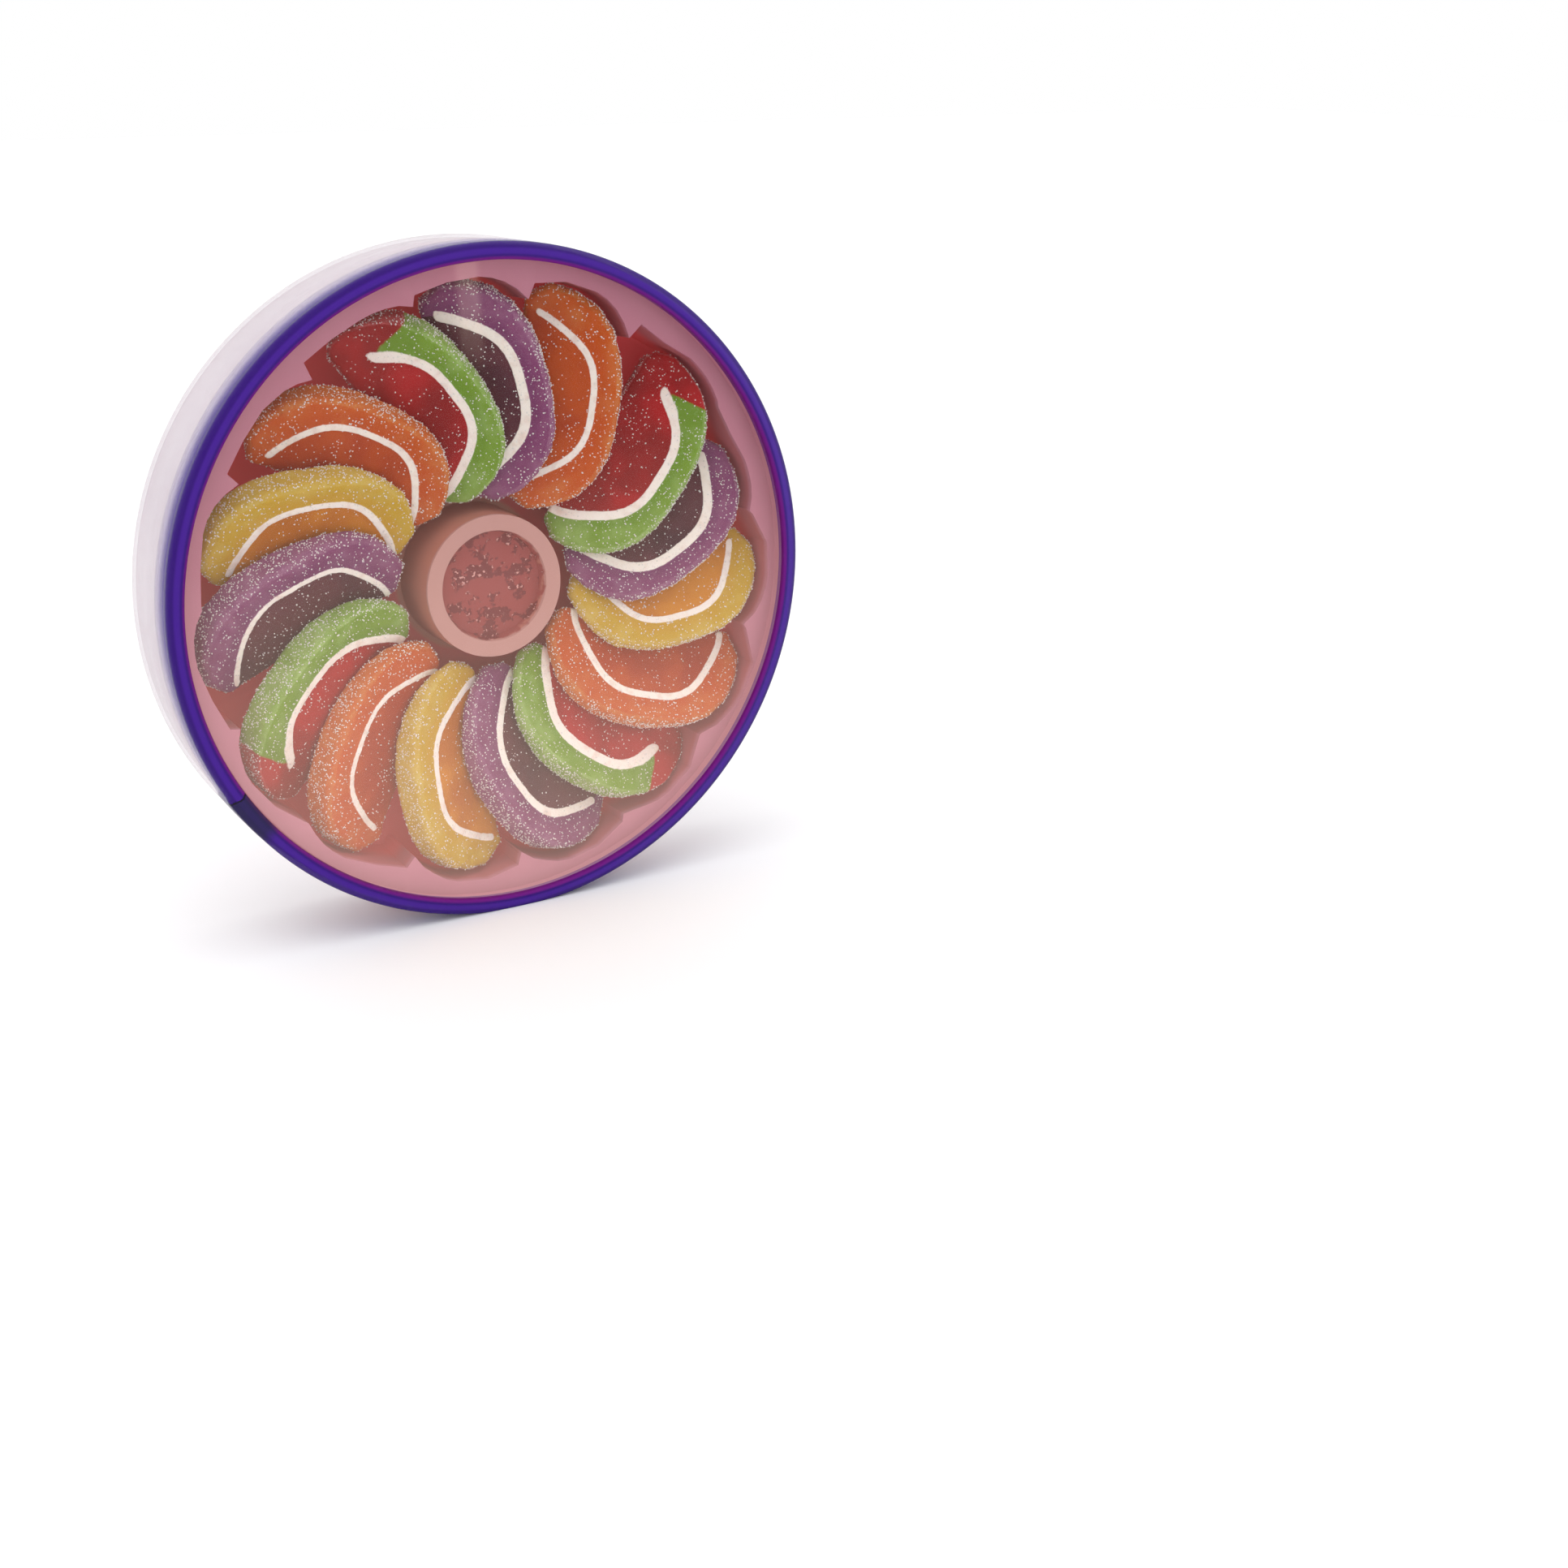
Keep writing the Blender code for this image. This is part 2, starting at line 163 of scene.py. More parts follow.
class Number:
    """A number that a shader works out for each point, used in plain sums."""

    def __init__(self, finish, socket):
        self.finish = finish
        self.socket = socket

    def sum(self, operation, first, second=0.0):
        return self.finish.add("ShaderNodeMath", {"operation": operation}, {0: first, 1: second})

    def __add__(self, other):
        return self.sum("ADD", self, other)

    def __radd__(self, other):
        return self.sum("ADD", other, self)

    def __sub__(self, other):
        return self.sum("SUBTRACT", self, other)

    def __rsub__(self, other):
        return self.sum("SUBTRACT", other, self)

    def __mul__(self, other):
        return self.sum("MULTIPLY", self, other)

    def __rmul__(self, other):
        return self.sum("MULTIPLY", other, self)

    def __truediv__(self, other):
        return self.sum("DIVIDE", self, other)

    def __pow__(self, other):
        return self.sum("POWER", self, other)

    def __abs__(self):
        return self.sum("ABSOLUTE", self)


class Finish:
    """One material: every node comes from add, and sums on its numbers add the rest."""

    def __init__(self, name):
        self.material = bpy.data.materials.new(name)
        self.material.use_nodes = True
        self.tree = self.material.node_tree
        self.tree.nodes.clear()
        self.spot = self.add("ShaderNodeTexCoord", out="Object")
        x, y, z = (self.add("ShaderNodeSeparateXYZ", sockets={0: self.spot}, out=i) for i in range(3))
        self.x = x / MM
        self.z = (z - AXIS_HEIGHT) / MM
        self.depth = (y - FRONT) / MM
        self.radius = (self.x * self.x + self.z * self.z) ** 0.5

    def add(self, kind, settings=None, sockets=None, out=0):
        node = self.tree.nodes.new(kind)
        for key, value in (settings or {}).items():
            setattr(node, key, value)
        for key, value in (sockets or {}).items():
            if isinstance(value, Number):
                self.tree.links.new(value.socket, node.inputs[key])
            else:
                node.inputs[key].default_value = value
        return Number(self, node.outputs[out])

    def angle(self):
        """Degrees clockwise from the top, -180 to 180."""
        return self.x.sum("ARCTAN2", self.x, self.z) * math.degrees(1.0)

    def rise(self, value, low, high):
        """0 below low and 1 above high, with a soft change between them."""
        settings = {"interpolation_type": "SMOOTHSTEP"}
        return self.add("ShaderNodeMapRange", settings, {"Value": value, "From Min": low, "From Max": high})

    def cloud(self, size, detail=3.0, roughness=0.5, vector=None):
        """Soft noise of this grain size in millimetres, about 0.5 on average."""
        sockets = {"Vector": vector or self.spot, "Scale": 1.0 / (size * MM)}
        sockets.update({"Detail": detail, "Roughness": roughness})
        return self.add("ShaderNodeTexNoise", sockets=sockets)

    def blend(self, share, first, second):
        """The first colour, and the second one where share is 1."""
        return self.add("ShaderNodeMix", {"data_type": "RGBA"}, {0: share, 6: first, 7: second}, out=2)

    def bump(self, height, distance, strength=1.0):
        sockets = {"Height": height, "Distance": distance * MM, "Strength": strength}
        return self.add("ShaderNodeBump", sockets=sockets)

    def surface(self, **sockets):
        """The material's surface, its sockets named in small letters with underscores."""
        named = {}
        for key, value in sockets.items():
            named[key.replace("_", " ").title().replace("Ior", "IOR")] = value
        return self.add("ShaderNodeBsdfPrincipled", sockets=named)

    def see_through(self, share, surface):
        """The surface where share is 1, and nothing but what lies behind where it is 0."""
        clear = self.add("ShaderNodeBsdfTransparent")
        return self.add("ShaderNodeMixShader", sockets={0: share, 1: clear, 2: surface})

    def put_on(self, thing, surface):
        self.add_output(surface)
        thing.data.materials.clear()
        thing.data.materials.append(self.material)

    def add_output(self, surface):
        node = self.tree.nodes.new("ShaderNodeOutputMaterial")
        self.tree.links.new(surface.socket, node.inputs["Surface"])


tray = merged_copy("tray", "tray_sheet")
pick(tray, lambda co: radius_of(co) > TRAY_LIP)
bpy.ops.mesh.delete(type="FACE")
pick(tray, lambda co: radius_of(co) < WELL_EDGE and depth_of(co) < FRONT_SIDE)
bpy.ops.mesh.select_linked()
bpy.ops.mesh.select_all(action="INVERT")
bpy.ops.mesh.delete(type="VERT")
bpy.ops.mesh.select_all(action="SELECT")
bpy.ops.mesh.tris_convert_to_quads(face_threshold=TRAY_FLAT_ANGLE, shape_threshold=TRAY_QUAD_ANGLE)
bpy.ops.object.mode_set(mode="OBJECT")
edges = {"width": TRAY_EDGE_ROUND, "segments": 3, "limit_method": "ANGLE", "angle_limit": TRAY_EDGE_ANGLE}
finish_with(tray, "BEVEL", **edges)
finish_with(tray, "SOLIDIFY", thickness=TRAY_SHEET, offset=-1.0)
smooth_shade(tray, 50.0)

pink = Finish("pink_sheet")
pocket = pink.rise(pink.depth, FLANGE_DEPTH + 0.3, FLANGE_DEPTH + 2.5)
outside_hub = pink.rise(pink.depth, HUB_DEPTH + 0.5, HUB_DEPTH + 1.2)
hub = 1.0 - pink.rise(pink.radius, HUB_EDGE, HUB_EDGE + 0.6)
steep = pink.rise(pink.depth, 10.0, 19.0)
rosy = pink.blend(steep, paint(168, 84, 92), paint(196, 66, 68))
sheet = pink.blend(pocket, paint(178, 112, 130), rosy)
sheet = pink.blend(hub * (1.0 - outside_hub), sheet, paint(180, 132, 124))
wall = (1.0 - pink.rise(pink.radius, HUB_EDGE + 0.8, HUB_EDGE + 2.4)) * outside_hub
sheet = pink.blend(wall, sheet, paint(176, 108, 90))
blotch = pink.rise(pink.cloud(4.0, 4.0, 0.65), 0.51, 0.55)
flecks = pink.rise(pink.cloud(0.8, 2.0), 0.62, 0.66)
well = pink.blend(blotch * 0.9, paint(144, 54, 50), paint(100, 16, 18))
well = pink.blend(flecks * blotch * 0.7, well, paint(226, 170, 160))
ragged = pink.radius + (pink.cloud(3.0) - 0.5) * 1.6
sheet = pink.blend(1.0 - pink.rise(ragged, WELL_EDGE - 0.2, WELL_EDGE + 0.2), sheet, well)
sheet = pink.blend(pink.cloud(18.0) * 0.12, sheet, paint(220, 180, 186))
grain = pink.bump(pink.cloud(2.2) + pink.cloud(14.0) * 3.0, 0.05)
# Deep in the pockets the sheet gives off red light by emission: painted light that lifts the shade on the
# pit floors.
pit_floor = pink.rise(pink.depth, 12.0, 20.0) * pink.rise(pink.radius, 30.0, 45.0)
painted_pit_light = pink.blend(pit_floor, paint(0, 0, 0), paint(128, 30, 34))
pink.put_on(
    tray,
    pink.surface(
        base_color=sheet,
        roughness=0.32,
        normal=grain,
        specular_ior_level=0.15,
        emission_color=painted_pit_light,
        emission_strength=0.45,
    ),
)
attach(tray, "root")
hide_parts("tray")


# The slices are soft fruit jelly, cast in three layers that run right through: the flesh,
# a thin white line and the rind. Each leans on the next one clockwise, and none is alike.

LAYERS = ("body", "line", "rind")
SWELL = 0.25 * MM
GRID = 0.5 * MM
ROUNDING = 7
EVENING = 40
LINE_RELIEF = 0.14 * MM
LINE_TRIM = 0.9
LINE_REACH = 0.9
LINE_STOP = (2.6, 3.6)
LUMP_HEIGHT = 0.9 * MM
CRUST_HEIGHT = 0.22 * MM
UP_FACING = 0.5
lumps = bpy.data.textures.new("jelly_lumps", "CLOUDS")
lumps.noise_scale = 9.0 * MM
crust = bpy.data.textures.new("sugar_crust", "CLOUDS")
crust.noise_scale = 1.3 * MM

JELLY = {
    "grape": {
        "body": paint(84, 38, 48),
        "deep": paint(58, 20, 34),
        "rind": paint(116, 54, 94),
        "deep_rind": paint(92, 36, 78),
        "frost": paint(157, 115, 138),
        "dew": paint(150, 126, 136),
    },
    "orange": {
        "body": paint(170, 68, 12),
        "deep": paint(150, 46, 8),
        "rind": paint(177, 74, 10),
        "deep_rind": paint(168, 58, 6),
        "frost": paint(192, 130, 74),
        "dew": paint(204, 134, 72),
    },
    "melon": {
        "body": paint(160, 18, 22),
        "deep": paint(126, 8, 12),
        "rind": paint(104, 136, 36),
        "deep_rind": paint(82, 118, 22),
        "frost": paint(168, 188, 128),
        "dew": paint(204, 118, 118),
    },
    "lemon": {
        "body": paint(190, 120, 22),
        "deep": paint(168, 94, 14),
        "rind": paint(178, 142, 34),
        "deep_rind": paint(180, 128, 20),
        "frost": paint(196, 176, 108),
        "dew": paint(206, 162, 76),
    },
}
LINE = paint(226, 216, 208)
LINE_STAIN = paint(206, 180, 168)


def nearest(piece, tree):
    """Millimetres from every point of the piece to a layer's solid."""
    return np.array([tree.find_nearest(vertex.co)[3] for vertex in piece.data.vertices]) / MM


def evened(piece, values, rounds=EVENING):
    """The same numbers, each drawn towards those of its neighbours again and again."""
    count = len(values)
    ends = np.empty(len(piece.data.edges) * 2, np.int32)
    piece.data.edges.foreach_get("vertices", ends)
    first, second = ends.reshape(-1, 2).T
    neighbours = np.bincount(first, minlength=count) + np.bincount(second, minlength=count)
    for _ in range(rounds):
        total = np.bincount(first, values[second], count) + np.bincount(second, values[first], count)
        values = 0.4 * values + 0.6 * total / np.maximum(neighbours, 1)
    return values


def straight_edge(solid, facing):
    """The direction that the flesh's flat foot looks in, away from the rind."""
    areas = {}
    for face in solid.data.polygons:
        if abs(face.normal.dot(facing)) < 0.3:
            key = tuple(round(value, 1) for value in face.normal)
            areas[key] = areas.get(key, 0.0) + face.area
    return Vector(max(areas, key=areas.get)).normalized()


def keep_numbers(piece, name, values):
    attribute = piece.data.attributes.new(name, "FLOAT", "POINT")
    attribute.data.foreach_set("value", values.astype(np.float32))


def flat_side(solid):
    """The direction that the broad front face of a layer looks in."""
    total = Vector()
    for face in solid.data.polygons:
        if face.normal.y < -UP_FACING:
            total += face.normal * face.area
    return total.normalized()


def jelly_skin(flavour, colours):
    """Tinted jelly under a thin uneven coat of sugar, thickest on the rind's outer side. It gives off a
    faint light of its own colour, painted light for its shaded parts, and is lighter where a face rounds
    into the side, sugar and a painted highlight.
    """
    skin = Finish(f"jelly_{flavour}")

    def stored(name):
        return skin.add("ShaderNodeAttribute", {"attribute_name": name}, out="Fac")

    wobble = (skin.cloud(1.1) - 0.5) * 0.5
    rind = 1.0 - skin.rise(stored("to_rind") + wobble, -0.3, 0.3)
    line = 1.0 - skin.rise(stored("to_line") + wobble * 0.8, -0.25, 0.15)
    top = stored("top")
    side = 1.0 - skin.rise(top, 0.25, 0.75)
    # Where a face rounds into the side the coat is thicker: sugar, and a painted highlight along that
    # rounded edge.
    sugar_edge_and_highlight = skin.rise(top, 0.45, 0.7) * (1.0 - skin.rise(top, 0.8, 0.93))
    flesh = skin.blend(skin.rise(skin.cloud(16.0, 2.0), 0.35, 0.65), colours["body"], colours["deep"])
    shell = skin.blend(skin.rise(skin.cloud(7.0, 3.0), 0.4, 0.75) * 0.3, colours["rind"], colours["frost"])
    glassy = skin.rise(stored("to_rind"), -5.6, -3.2)
    shell = skin.blend(glassy * 0.35, shell, colours["deep_rind"])
    jelly = skin.blend(rind, flesh, shell)
    white = skin.blend(skin.rise(skin.cloud(2.4), 0.45, 0.75) * 0.5, LINE, LINE_STAIN)
    jelly = skin.blend(line, jelly, white)
    patches = skin.rise(skin.cloud(5.0, 4.0, 0.6), 0.42, 0.68)
    dust = skin.rise(skin.cloud(0.55, 2.0, 0.7), 0.5, 0.72)
    coat = (side * 0.8 + sugar_edge_and_highlight * 0.85) * (0.5 + patches * 0.5) * (0.45 + dust * 0.55)
    coat = coat + (1.0 - side) * patches * dust * (0.12 + rind * 0.2)
    sugared = skin.blend(rind, colours["dew"], colours["frost"])
    jelly = skin.blend(coat, jelly, sugared)
    cells = {"Vector": skin.spot, "Scale": 1.0 / (0.85 * MM)}
    near = skin.add("ShaderNodeTexVoronoi", sockets=cells, out="Distance")
    tint = skin.add("ShaderNodeTexVoronoi", sockets=cells, out="Color")
    draw = skin.add("ShaderNodeSeparateColor", sockets={0: tint})
    share = draw + patches * 0.1 + rind * 0.05 + side * 0.2
    speck = (1.0 - skin.rise(near, 0.1, 0.24)) * skin.rise(share, 0.9, 0.94)
    jelly = skin.blend(speck * 0.75, jelly, paint(240, 230, 224))
    height = skin.cloud(0.6, 2.0, 0.7) + skin.cloud(2.4) * 0.8 + speck * 0.8
    grain = skin.bump(height, 0.16, 0.8)
    rough = 0.42 + coat * 0.35
    return skin, skin.surface(
        base_color=jelly,
        roughness=rough,
        normal=grain,
        subsurface_weight=0.3,
        subsurface_radius=(1.0, 0.5, 0.3),
        subsurface_scale=2.0 * MM,
        # Emission of the jelly's own colour: painted light that lifts the shaded parts.
        emission_color=jelly,
        emission_strength=0.1,
        specular_ior_level=0.15,
    )


skins = {flavour: jelly_skin(flavour, colours) for flavour, colours in JELLY.items()}
slices = []
for node in sorted(frame["nodes"]):
    if not node.endswith("_body"):
        continue
    stem = node.removesuffix("_body")
    flavour = stem.split("_")[-1]
    copies = {layer: merged_copy(f"{stem}_{layer}", f"{stem}_{layer}_copy") for layer in LAYERS}
    trees = {}
    for layer, solid in copies.items():
        corners = [vertex.co.copy() for vertex in solid.data.vertices]
        trees[layer] = BVHTree.FromPolygons(corners, [face.vertices[:] for face in solid.data.polygons])
    facing = flat_side(copies["body"])
    rise = -straight_edge(copies["body"], facing)
    along = rise.cross(facing)
    for solid in copies.values():
        finish_with(solid, "DISPLACE", strength=SWELL, mid_level=0.0)
    piece = alone(*copies.values())
    bpy.ops.object.join()
    piece.name = stem
    finish_with(piece, "REMESH", mode="VOXEL", voxel_size=GRID)
    finish_with(piece, "SMOOTH", factor=0.6, iterations=ROUNDING)
    away = {layer: nearest(piece, tree) for layer, tree in trees.items()}
    spots = np.array([vertex.co for vertex in piece.data.vertices])
    normals = np.array([vertex.normal for vertex in piece.data.vertices])
    top = normals @ np.array(facing)
    up = spots @ np.array(rise) / MM
    up = up - up.min()
    out = spots - np.array(AXIS)
    past = spots @ np.array(along)
    past = (past - past.mean()) * np.sign(out.mean(axis=0) @ np.array(along))
    in_line = away["line"] < np.minimum(away["rind"], away["body"])
    width = np.median((away["rind"] + away["body"])[in_line & (top > UP_FACING)])
    to_rind = evened(piece, away["rind"] - away["body"])
    past_end = evened(piece, away["line"], 8) - LINE_REACH
    to_line = np.maximum(np.abs(to_rind) - width + LINE_TRIM, past_end)
    if flavour != "melon":
        low, high = LINE_STOP
        stop = np.clip((high - up) / (high - low), 0.0, 1.0)
        to_line = to_line + np.where(past > 0.0, stop, 0.0)
    keep_numbers(piece, "to_rind", to_rind)
    keep_numbers(piece, "to_line", to_line)
    keep_numbers(piece, "top", top)
    relief = piece.vertex_groups.new(name="line")
    for index in np.nonzero((to_line < 0.0) & (top > UP_FACING))[0]:
        relief.add([int(index)], 1.0, "REPLACE")
    finish_with(piece, "DISPLACE", strength=LINE_RELIEF, mid_level=0.0, vertex_group="line")
    for texture, height in ((lumps, LUMP_HEIGHT), (crust, CRUST_HEIGHT)):
        settings = {"texture": texture, "strength": height, "mid_level": 0.5, "texture_coords": "LOCAL"}
        finish_with(piece, "DISPLACE", **settings)
    piece.vertex_groups.clear()
    alone(piece)
    bpy.ops.object.shade_smooth()
    skin, surface = skins[flavour]
    piece.data.materials.clear()
    piece.data.materials.append(skin.material)
    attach(piece, "root")
    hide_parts(*(f"{stem}_{layer}" for layer in LAYERS))
    slices.append(piece)
for skin, surface in skins.values():
    skin.add_output(surface)


# The sugar is coarse white grains stuck to the jelly, thick on the rinds' outer sides and
# strewn in drifts over the flat faces. Each grain is a third to two thirds of a mm long.

GRAIN_COUNT = 24000
GRAIN_SIZE = (0.12, 0.26)
GRAIN_STRETCH = 1.3
GRAIN_LIFT = 0.06 * MM
GRAIN_SCATTER = 0.2 * MM
RIND_SHARE = 0.46
FLESH_SHARE = 0.16
SIDE_SHARE = 1.3
BACK_SHARE = 0.12
chance = np.random.default_rng(15)

places = []
weights = []
outward = []
for piece in slices:
    count = len(piece.data.vertices)
    spots = np.empty(count * 3)
    piece.data.vertices.foreach_get("co", spots)
    normals = np.array([vertex.normal for vertex in piece.data.vertices])
    top = np.empty(count, np.float32)
    piece.data.attributes["top"].data.foreach_get("value", top)
    spots = spots.reshape(-1, 3)
    drift = np.sin(spots[:, 0] * 310.0 + 1.3) * np.sin(spots[:, 2] * 270.0 + 0.4)
    drift = drift + chance.normal(0.0, 0.2, count)
    to_rind = np.empty(count, np.float32)
    piece.data.attributes["to_rind"].data.foreach_get("value", to_rind)
    face = np.where(to_rind < 0.0, RIND_SHARE, FLESH_SHARE + 0.5 * np.clip(drift - 0.2, 0.0, 1.0))
    weight = np.where(top > 0.8, face, SIDE_SHARE)
    weight = np.where(normals[:, 1] > 0.25, BACK_SHARE, weight)
    places.append(spots)
    outward.append(normals)
    weights.append(weight)
places = np.concatenate(places)
outward = np.concatenate(outward)
weights = np.concatenate(weights)
chosen = chance.choice(len(places), GRAIN_COUNT, replace=False, p=weights / weights.sum())
scatter = chance.uniform(-1.0, 1.0, (GRAIN_COUNT, 3)) * GRAIN_SCATTER
centres = places[chosen] + outward[chosen] * GRAIN_LIFT + scatter
sizes = chance.uniform(*GRAIN_SIZE, GRAIN_COUNT) * MM

bpy.ops.object.select_all(action="DESELECT")
bpy.ops.mesh.primitive_circle_add(vertices=4, radius=1.0, fill_type="TRIFAN", location=(0.0, 0.0, 0.0))
sugar = bpy.context.view_layer.objects.active
sugar.name = "sugar_grains"
pick(sugar, lambda co: co.length < 0.5)
bpy.ops.transform.translate(value=(0.0, 0.0, GRAIN_STRETCH))
bpy.ops.mesh.select_all(action="SELECT")
bpy.ops.mesh.duplicate()
bpy.ops.transform.resize(value=(1.0, 1.0, -1.0), center_override=(0.0, 0.0, 0.0))
bpy.ops.mesh.select_all(action="SELECT")
bpy.ops.mesh.remove_doubles(threshold=0.001)
bpy.ops.mesh.normals_make_consistent(inside=False)
bpy.ops.object.mode_set(mode="OBJECT")
CORNERS = np.array([vertex.co for vertex in sugar.data.vertices])
FACES = np.array([face.vertices[:] for face in sugar.data.polygons])
turns = chance.normal(size=(GRAIN_COUNT, 4))
turns /= np.linalg.norm(turns, axis=1)[:, None]
w, x, y, z = turns.T
matrices = np.stack(
    [
        np.stack([1 - 2 * (y * y + z * z), 2 * (x * y - z * w), 2 * (x * z + y * w)], axis=1),
        np.stack([2 * (x * y + z * w), 1 - 2 * (x * x + z * z), 2 * (y * z - x * w)], axis=1),
        np.stack([2 * (x * z - y * w), 2 * (y * z + x * w), 1 - 2 * (x * x + y * y)], axis=1),
    ],
    axis=1,
)
points = np.einsum("nij,kj->nki", matrices, CORNERS) * sizes[:, None, None] + centres[:, None, :]
faces = FACES[None] + (np.arange(GRAIN_COUNT) * len(CORNERS))[:, None, None]
sugar.data.clear_geometry()
sugar.data.from_pydata(points.reshape(-1, 3).tolist(), [], faces.reshape(-1, 3).tolist())
sugar.data.update()

crystal = Finish("sugar_crystal")
cloudy = crystal.blend(crystal.cloud(1.0), paint(252, 248, 244), paint(232, 226, 222))
crystal.put_on(sugar, crystal.surface(base_color=cloudy, roughness=0.18, alpha=0.78))
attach(sugar, "root")


# The cup is a shallow drum of thin clear plastic, a little milky, drawn in one piece with a
# neck that slips inside the lid's skirt. Its closed bottom is the back of the box.

ROUND = 240
BACK = (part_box("base_cup")[1].y - FRONT) / MM
CUP_RADIUS = 84.5
CUP_NECK = 83.5
CUP_CORNER = 3.0
CUP_FLAT = CUP_RADIUS - CUP_CORNER
CUP_WALL = 0.9
SHOULDER = 10.9


def bend(middle, radius, start, end, steps=6):
    """Points along an arc of a profile, as (radius, depth), from one angle to another."""
    turns = [math.radians(start + (end - start) * i / steps) for i in range(steps + 1)]
    return [(middle[0] + radius * math.cos(t), middle[1] + radius * math.sin(t)) for t in turns]


def turned(name, profile, steps=ROUND):
    """Draws a circle out along a profile of (radius, depth) in mm round the box's axis."""
    radius, depth = profile[0]
    bpy.ops.object.select_all(action="DESELECT")
    spot = AXIS + Vector((0.0, depth * MM, 0.0))
    bpy.ops.mesh.primitive_circle_add(
        vertices=steps, radius=radius * MM, location=spot, rotation=(math.radians(90.0), 0.0, 0.0)
    )
    piece = bpy.context.view_layer.objects.active
    piece.name = name
    bpy.ops.object.transform_apply(location=True, rotation=True, scale=True)
    bpy.ops.object.mode_set(mode="EDIT")
    bpy.ops.mesh.select_all(action="SELECT")
    for wider, deeper in profile[1:]:
        move = (0.0, (deeper - depth) * MM, 0.0)
        bpy.ops.mesh.extrude_region_move(TRANSFORM_OT_translate={"value": move})
        grow = wider / radius
        middle = AXIS + Vector((0.0, deeper * MM, 0.0))
        bpy.ops.transform.resize(value=(grow, 1.0, grow), center_override=middle)
        radius, depth = wider, deeper
    return piece


def stand_flat(piece):
    """Presses what reaches below the floor up to it, the flat that the box stands on."""
    pick(piece, lambda co: co.z < 0.0)
    bpy.ops.transform.resize(value=(1.0, 1.0, 0.0), center_override=(0.0, 0.0, 0.0))
    bpy.ops.object.mode_set(mode="OBJECT")


def face_out(piece, looks_out):
    """Turns all faces the same way round, outwards."""
    bpy.ops.mesh.select_all(action="SELECT")
    bpy.ops.mesh.normals_make_consistent(inside=False)
    bpy.ops.object.mode_set(mode="OBJECT")
    if not looks_out(piece.data.polygons):
        bpy.ops.object.mode_set(mode="EDIT")
        bpy.ops.mesh.flip_normals()
        bpy.ops.object.mode_set(mode="OBJECT")


cup_profile = [(CUP_NECK - 0.2, 4.4), (CUP_NECK, 4.6), (CUP_NECK, SHOULDER - 0.3)]
cup_profile += [(CUP_NECK + 0.3, SHOULDER), (CUP_RADIUS - 0.3, SHOULDER + 0.1)]
cup_profile += [(CUP_RADIUS, SHOULDER + 0.5), (CUP_RADIUS, SHOULDER + 8.0)]
cup_profile += bend((CUP_FLAT, BACK - CUP_CORNER), CUP_CORNER, 0.0, 90.0)
cup_profile += [(CUP_FLAT - 2.0, BACK)]
cup_profile += [(CUP_FLAT - 3.0, BACK - 0.5), (10.0, BACK - 0.5)]
cup = turned("clear_cup", cup_profile)
bpy.ops.mesh.edge_face_add()
face_out(cup, lambda faces: max(faces, key=lambda face: face.area).normal.y > 0.0)
stand_flat(cup)
finish_with(cup, "SOLIDIFY", thickness=CUP_WALL * MM, offset=-1.0)
smooth_shade(cup, 40.0)

clear = Finish("milky_clear")
edge_on = clear.add("ShaderNodeLayerWeight", sockets={"Blend": 0.25}, out="Facing")
milk = 0.24 + edge_on * 0.36 + (clear.cloud(22.0) - 0.5) * 0.1
tone = clear.blend(clear.cloud(30.0), paint(216, 206, 214), paint(206, 192, 204))
flow = clear.bump(clear.cloud(11.0), 0.12)
clear.put_on(cup, clear.see_through(milk, clear.surface(base_color=tone, roughness=0.16, normal=flow)))
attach(cup, "root")
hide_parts("base_cup")


# The lid's ring is violet plastic, bent to a hoop: a solid glossy lip in front and a thin
# see-through skirt behind it. The strip's end overlaps its start at the lower left.

RING_RADIUS = 85.0
OPENING = 80.7
LIP_DEPTH = 2.9
SKIRT_DEPTH = 10.6
SKIRT_WALL = 1.0
SKIRT_OUTER = RING_RADIUS - 0.1
SKIRT_INNER = RING_RADIUS - SKIRT_WALL
SEAM_START = 231.0
SEAM_END = 240.0
SEAM_RISE = 0.35 * MM
SEAM_FROM = SEAM_START - 360.0
SEAM_STOP = SEAM_END - 360.0
LIP_MIDDLE = 82.8

ring_profile = [(OPENING, LIP_DEPTH), (OPENING, 0.8)]
ring_profile += bend((OPENING + 0.9, 0.9), 0.9, 180.0, 270.0, 5)
ring_profile += [(OPENING + 2.0, 0.0), (OPENING + 2.7, 0.1)]
ring_profile += bend((RING_RADIUS - 1.5, 1.7), 1.5, -75.0, 0.0, 6)
ring_profile += [(RING_RADIUS, LIP_DEPTH), (RING_RADIUS - 0.18, LIP_DEPTH + 0.35)]
ring_profile += [(SKIRT_OUTER, LIP_DEPTH + 0.9)]
ring_profile += [(SKIRT_OUTER, SKIRT_DEPTH - 3.0), (SKIRT_OUTER, SKIRT_DEPTH - 0.3)]
ring_profile += [(RING_RADIUS - 0.35, SKIRT_DEPTH), (SKIRT_INNER, SKIRT_DEPTH)]
ring_profile += [(SKIRT_INNER, LIP_DEPTH + 0.6), (SKIRT_INNER - 0.6, LIP_DEPTH)]
ring = turned("violet_ring", ring_profile)
bpy.ops.mesh.select_all(action="DESELECT")
bpy.ops.mesh.select_non_manifold()
bpy.ops.mesh.bridge_edge_loops()
bpy.ops.mesh.select_all(action="SELECT")
bpy.ops.mesh.normals_make_consistent(inside=False)
bpy.ops.object.mode_set(mode="OBJECT")
for vertex in ring.data.vertices:
    along = (angle_of(vertex.co) - SEAM_START) / (SEAM_END - SEAM_START)
    if 0.0 < along < 1.0 and radius_of(vertex.co) > RING_RADIUS - 0.5:
        out = (vertex.co - AXIS) * Vector((1.0, 0.0, 1.0))
        vertex.co += out.normalized() * SEAM_RISE * along
stand_flat(ring)
smooth_shade(ring, 35.0)

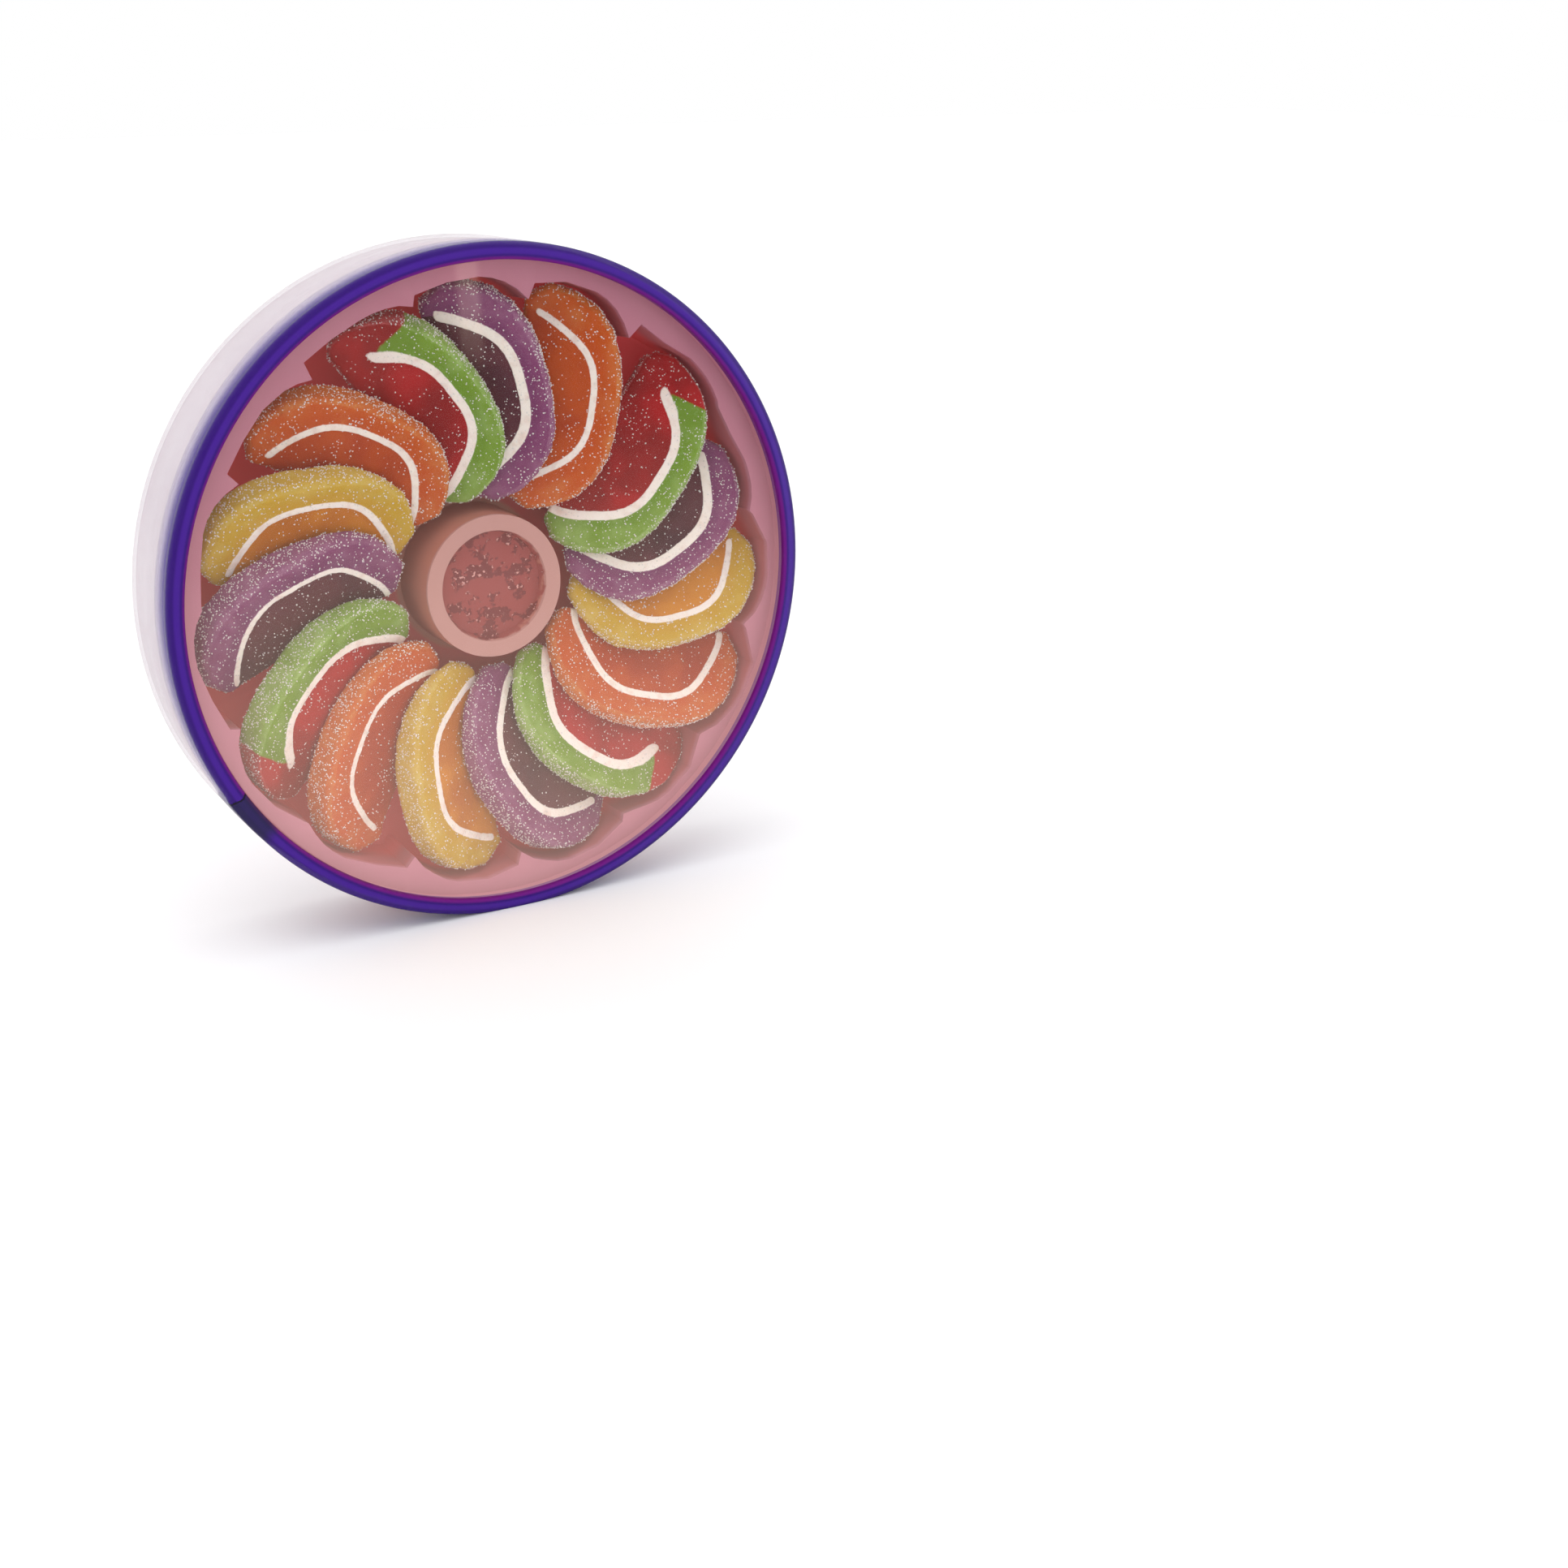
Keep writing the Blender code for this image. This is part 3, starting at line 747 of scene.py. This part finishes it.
violet = Finish("violet_plastic")
turn = violet.angle()
lip = 1.0 - violet.rise(violet.depth, LIP_DEPTH - 0.4, LIP_DEPTH + 0.8)
back = violet.rise(violet.depth, LIP_DEPTH, SKIRT_DEPTH)
along_hoop = {0: violet.radius * 0.5, 1: violet.depth * 0.5, 2: turn * 0.012}
hoop = violet.add("ShaderNodeCombineXYZ", sockets=along_hoop)
streaks = violet.cloud(0.001, 3.0, 0.6, hoop)
faded = violet.rise(back + (streaks - 0.5) * 0.9, 0.1, 0.95)
skirt = violet.blend(faded, paint(74, 48, 148), paint(204, 192, 222))
inner = 1.0 - violet.rise(violet.radius, OPENING + 0.3, OPENING + 1.1)
uneven = violet.rise(streaks, 0.35, 0.7)
solid = violet.blend(uneven, paint(42, 12, 96), paint(66, 20, 146))
# A lighter violet band along the middle of the lip is a painted highlight, the gloss on its rounded top.
crown_highlight = 1.0 - violet.rise(abs(violet.radius - LIP_MIDDLE), 0.3, 1.1)
solid = violet.blend(crown_highlight * 0.3, solid, paint(98, 46, 196))
solid = violet.blend(inner, solid, paint(112, 20, 130))
colour = violet.blend(lip, skirt, solid)
wander = turn + (violet.cloud(1.6, 4.0, 0.7) - 0.5) * 1.6
overlap = violet.rise(wander, SEAM_FROM - 1.5, SEAM_FROM + 2.0)
overlap = overlap * (1.0 - violet.rise(wander, SEAM_STOP - 0.2, SEAM_STOP))
colour = violet.blend(overlap * 0.8, colour, paint(38, 36, 66))
crack = 1.0 - violet.rise(abs(wander - SEAM_STOP), 0.1, 0.25)
colour = violet.blend(crack, colour, paint(20, 14, 34))
solidity = lip * 0.97 + (1.0 - lip) * (0.78 - back * 0.46) + crack * 0.3 + overlap * 0.3
ripple = violet.bump(streaks, 0.08)
shine = violet.surface(base_color=colour, roughness=0.15, normal=ripple, specular_ior_level=0.12)
violet.put_on(ring, violet.see_through(solidity, shine))
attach(ring, "root")
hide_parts("lid_ring")


# The window is a disc of clear stiff film held in the ring's opening. It is a little hazy,
# most at the bottom and the left, and the haze is painted light: a faint even glow that the
# film gives off, because a veil that is mixed in by chance looks grainy. One faint upright
# streak near its top is a painted reflection.

FILM_RADIUS = OPENING - 0.3
FILM_FRONT = 1.0
FILM_THICKNESS = 0.8
FILM_EDGE = 0.1
FILM_SHARE = 0.03

film_profile = [(FILM_RADIUS - FILM_EDGE, FILM_FRONT), (FILM_RADIUS, FILM_FRONT + FILM_EDGE)]
film = turned("clear_window", film_profile)
through = (0.0, (FILM_THICKNESS - FILM_EDGE) * MM, 0.0)
bpy.ops.mesh.extrude_region_move(TRANSFORM_OT_translate={"value": through})
bpy.ops.mesh.edge_face_add()
bpy.ops.mesh.select_all(action="DESELECT")
bpy.ops.mesh.select_non_manifold()
bpy.ops.mesh.edge_face_add()
bpy.ops.mesh.select_all(action="SELECT")
bpy.ops.mesh.normals_make_consistent(inside=False)
bpy.ops.object.mode_set(mode="OBJECT")
smooth_shade(film, 30.0)

haze = Finish("hazy_film_painted_light")
low = 1.0 - haze.rise(haze.z, -60.0, 50.0)
left = 1.0 - haze.rise(haze.x, -70.0, 30.0)
# The haze is drawn as light that the film gives off: painted light, most at the bottom and the left.
painted_haze_share = 0.004 + low * 0.08 + left * 0.01 + (haze.cloud(45.0, 2.0) - 0.5) * 0.02
# An upright band near the top: a painted reflection.
painted_streak = (1.0 - haze.rise(abs(haze.x + 4.0 + haze.z * 0.03), 1.5, 4.0)) * haze.rise(haze.z, 52.0, 70.0)
painted_haze_share = painted_haze_share + painted_streak * 0.04
painted_haze_colour = haze.blend(painted_haze_share * 10.0, paint(0, 0, 0), paint(255, 224, 206))
gloss = haze.surface(
    base_color=paint(60, 56, 58),
    roughness=0.08,
    emission_color=painted_haze_colour,
    emission_strength=0.1 / FILM_SHARE,
)
haze.put_on(film, haze.see_through(FILM_SHARE, gloss))
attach(film, "root")
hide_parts("lid_window")


# The studio is a wide white table and even white light, with a large soft lamp overhead.
# The camera stands to the left of the box's front and looks down on it.

CAMERA_SPOT = Vector((-0.2173, -0.5004, 0.2181))
CAMERA_AIM = Vector((0.0794, -0.0181, 0.0198))
CAMERA_LENS = 50.0
CAMERA_SENSOR = 36.0
TABLE_SIZE = 8.0
SUN_TURN = (math.radians(12.0), math.radians(-10.0), 0.0)
SUN_STRENGTH = 0.9
SUN_ANGLE = math.radians(50.0)
WHITE = (1.0, 1.0, 1.0, 1.0)

bpy.ops.object.select_all(action="DESELECT")
bpy.ops.mesh.primitive_plane_add(size=TABLE_SIZE, location=(0.0, 0.0, 0.0))
table = bpy.context.view_layer.objects.active
table.name = "table"
paper = Finish("white_paper")
paper.put_on(table, paper.surface(base_color=(0.93, 0.93, 0.94, 1.0), roughness=0.6))

bpy.ops.object.light_add(type="SUN", rotation=SUN_TURN)
sun = bpy.context.view_layer.objects.active
sun.name = "overhead"
sun.data.energy = SUN_STRENGTH
sun.data.angle = SUN_ANGLE

world = bpy.data.worlds.new("white_room")
world.use_nodes = True
world.node_tree.nodes["Background"].inputs["Color"].default_value = WHITE
world.node_tree.nodes["Background"].inputs["Strength"].default_value = 1.0
bpy.context.scene.world = world

bpy.ops.object.camera_add(location=CAMERA_SPOT)
camera = bpy.context.view_layer.objects.active
camera.rotation_euler = (CAMERA_AIM - CAMERA_SPOT).to_track_quat("-Z", "Y").to_euler()
camera.data.lens = CAMERA_LENS
camera.data.sensor_width = CAMERA_SENSOR
bpy.context.scene.camera = camera
bpy.context.scene.view_settings.view_transform = "Standard"
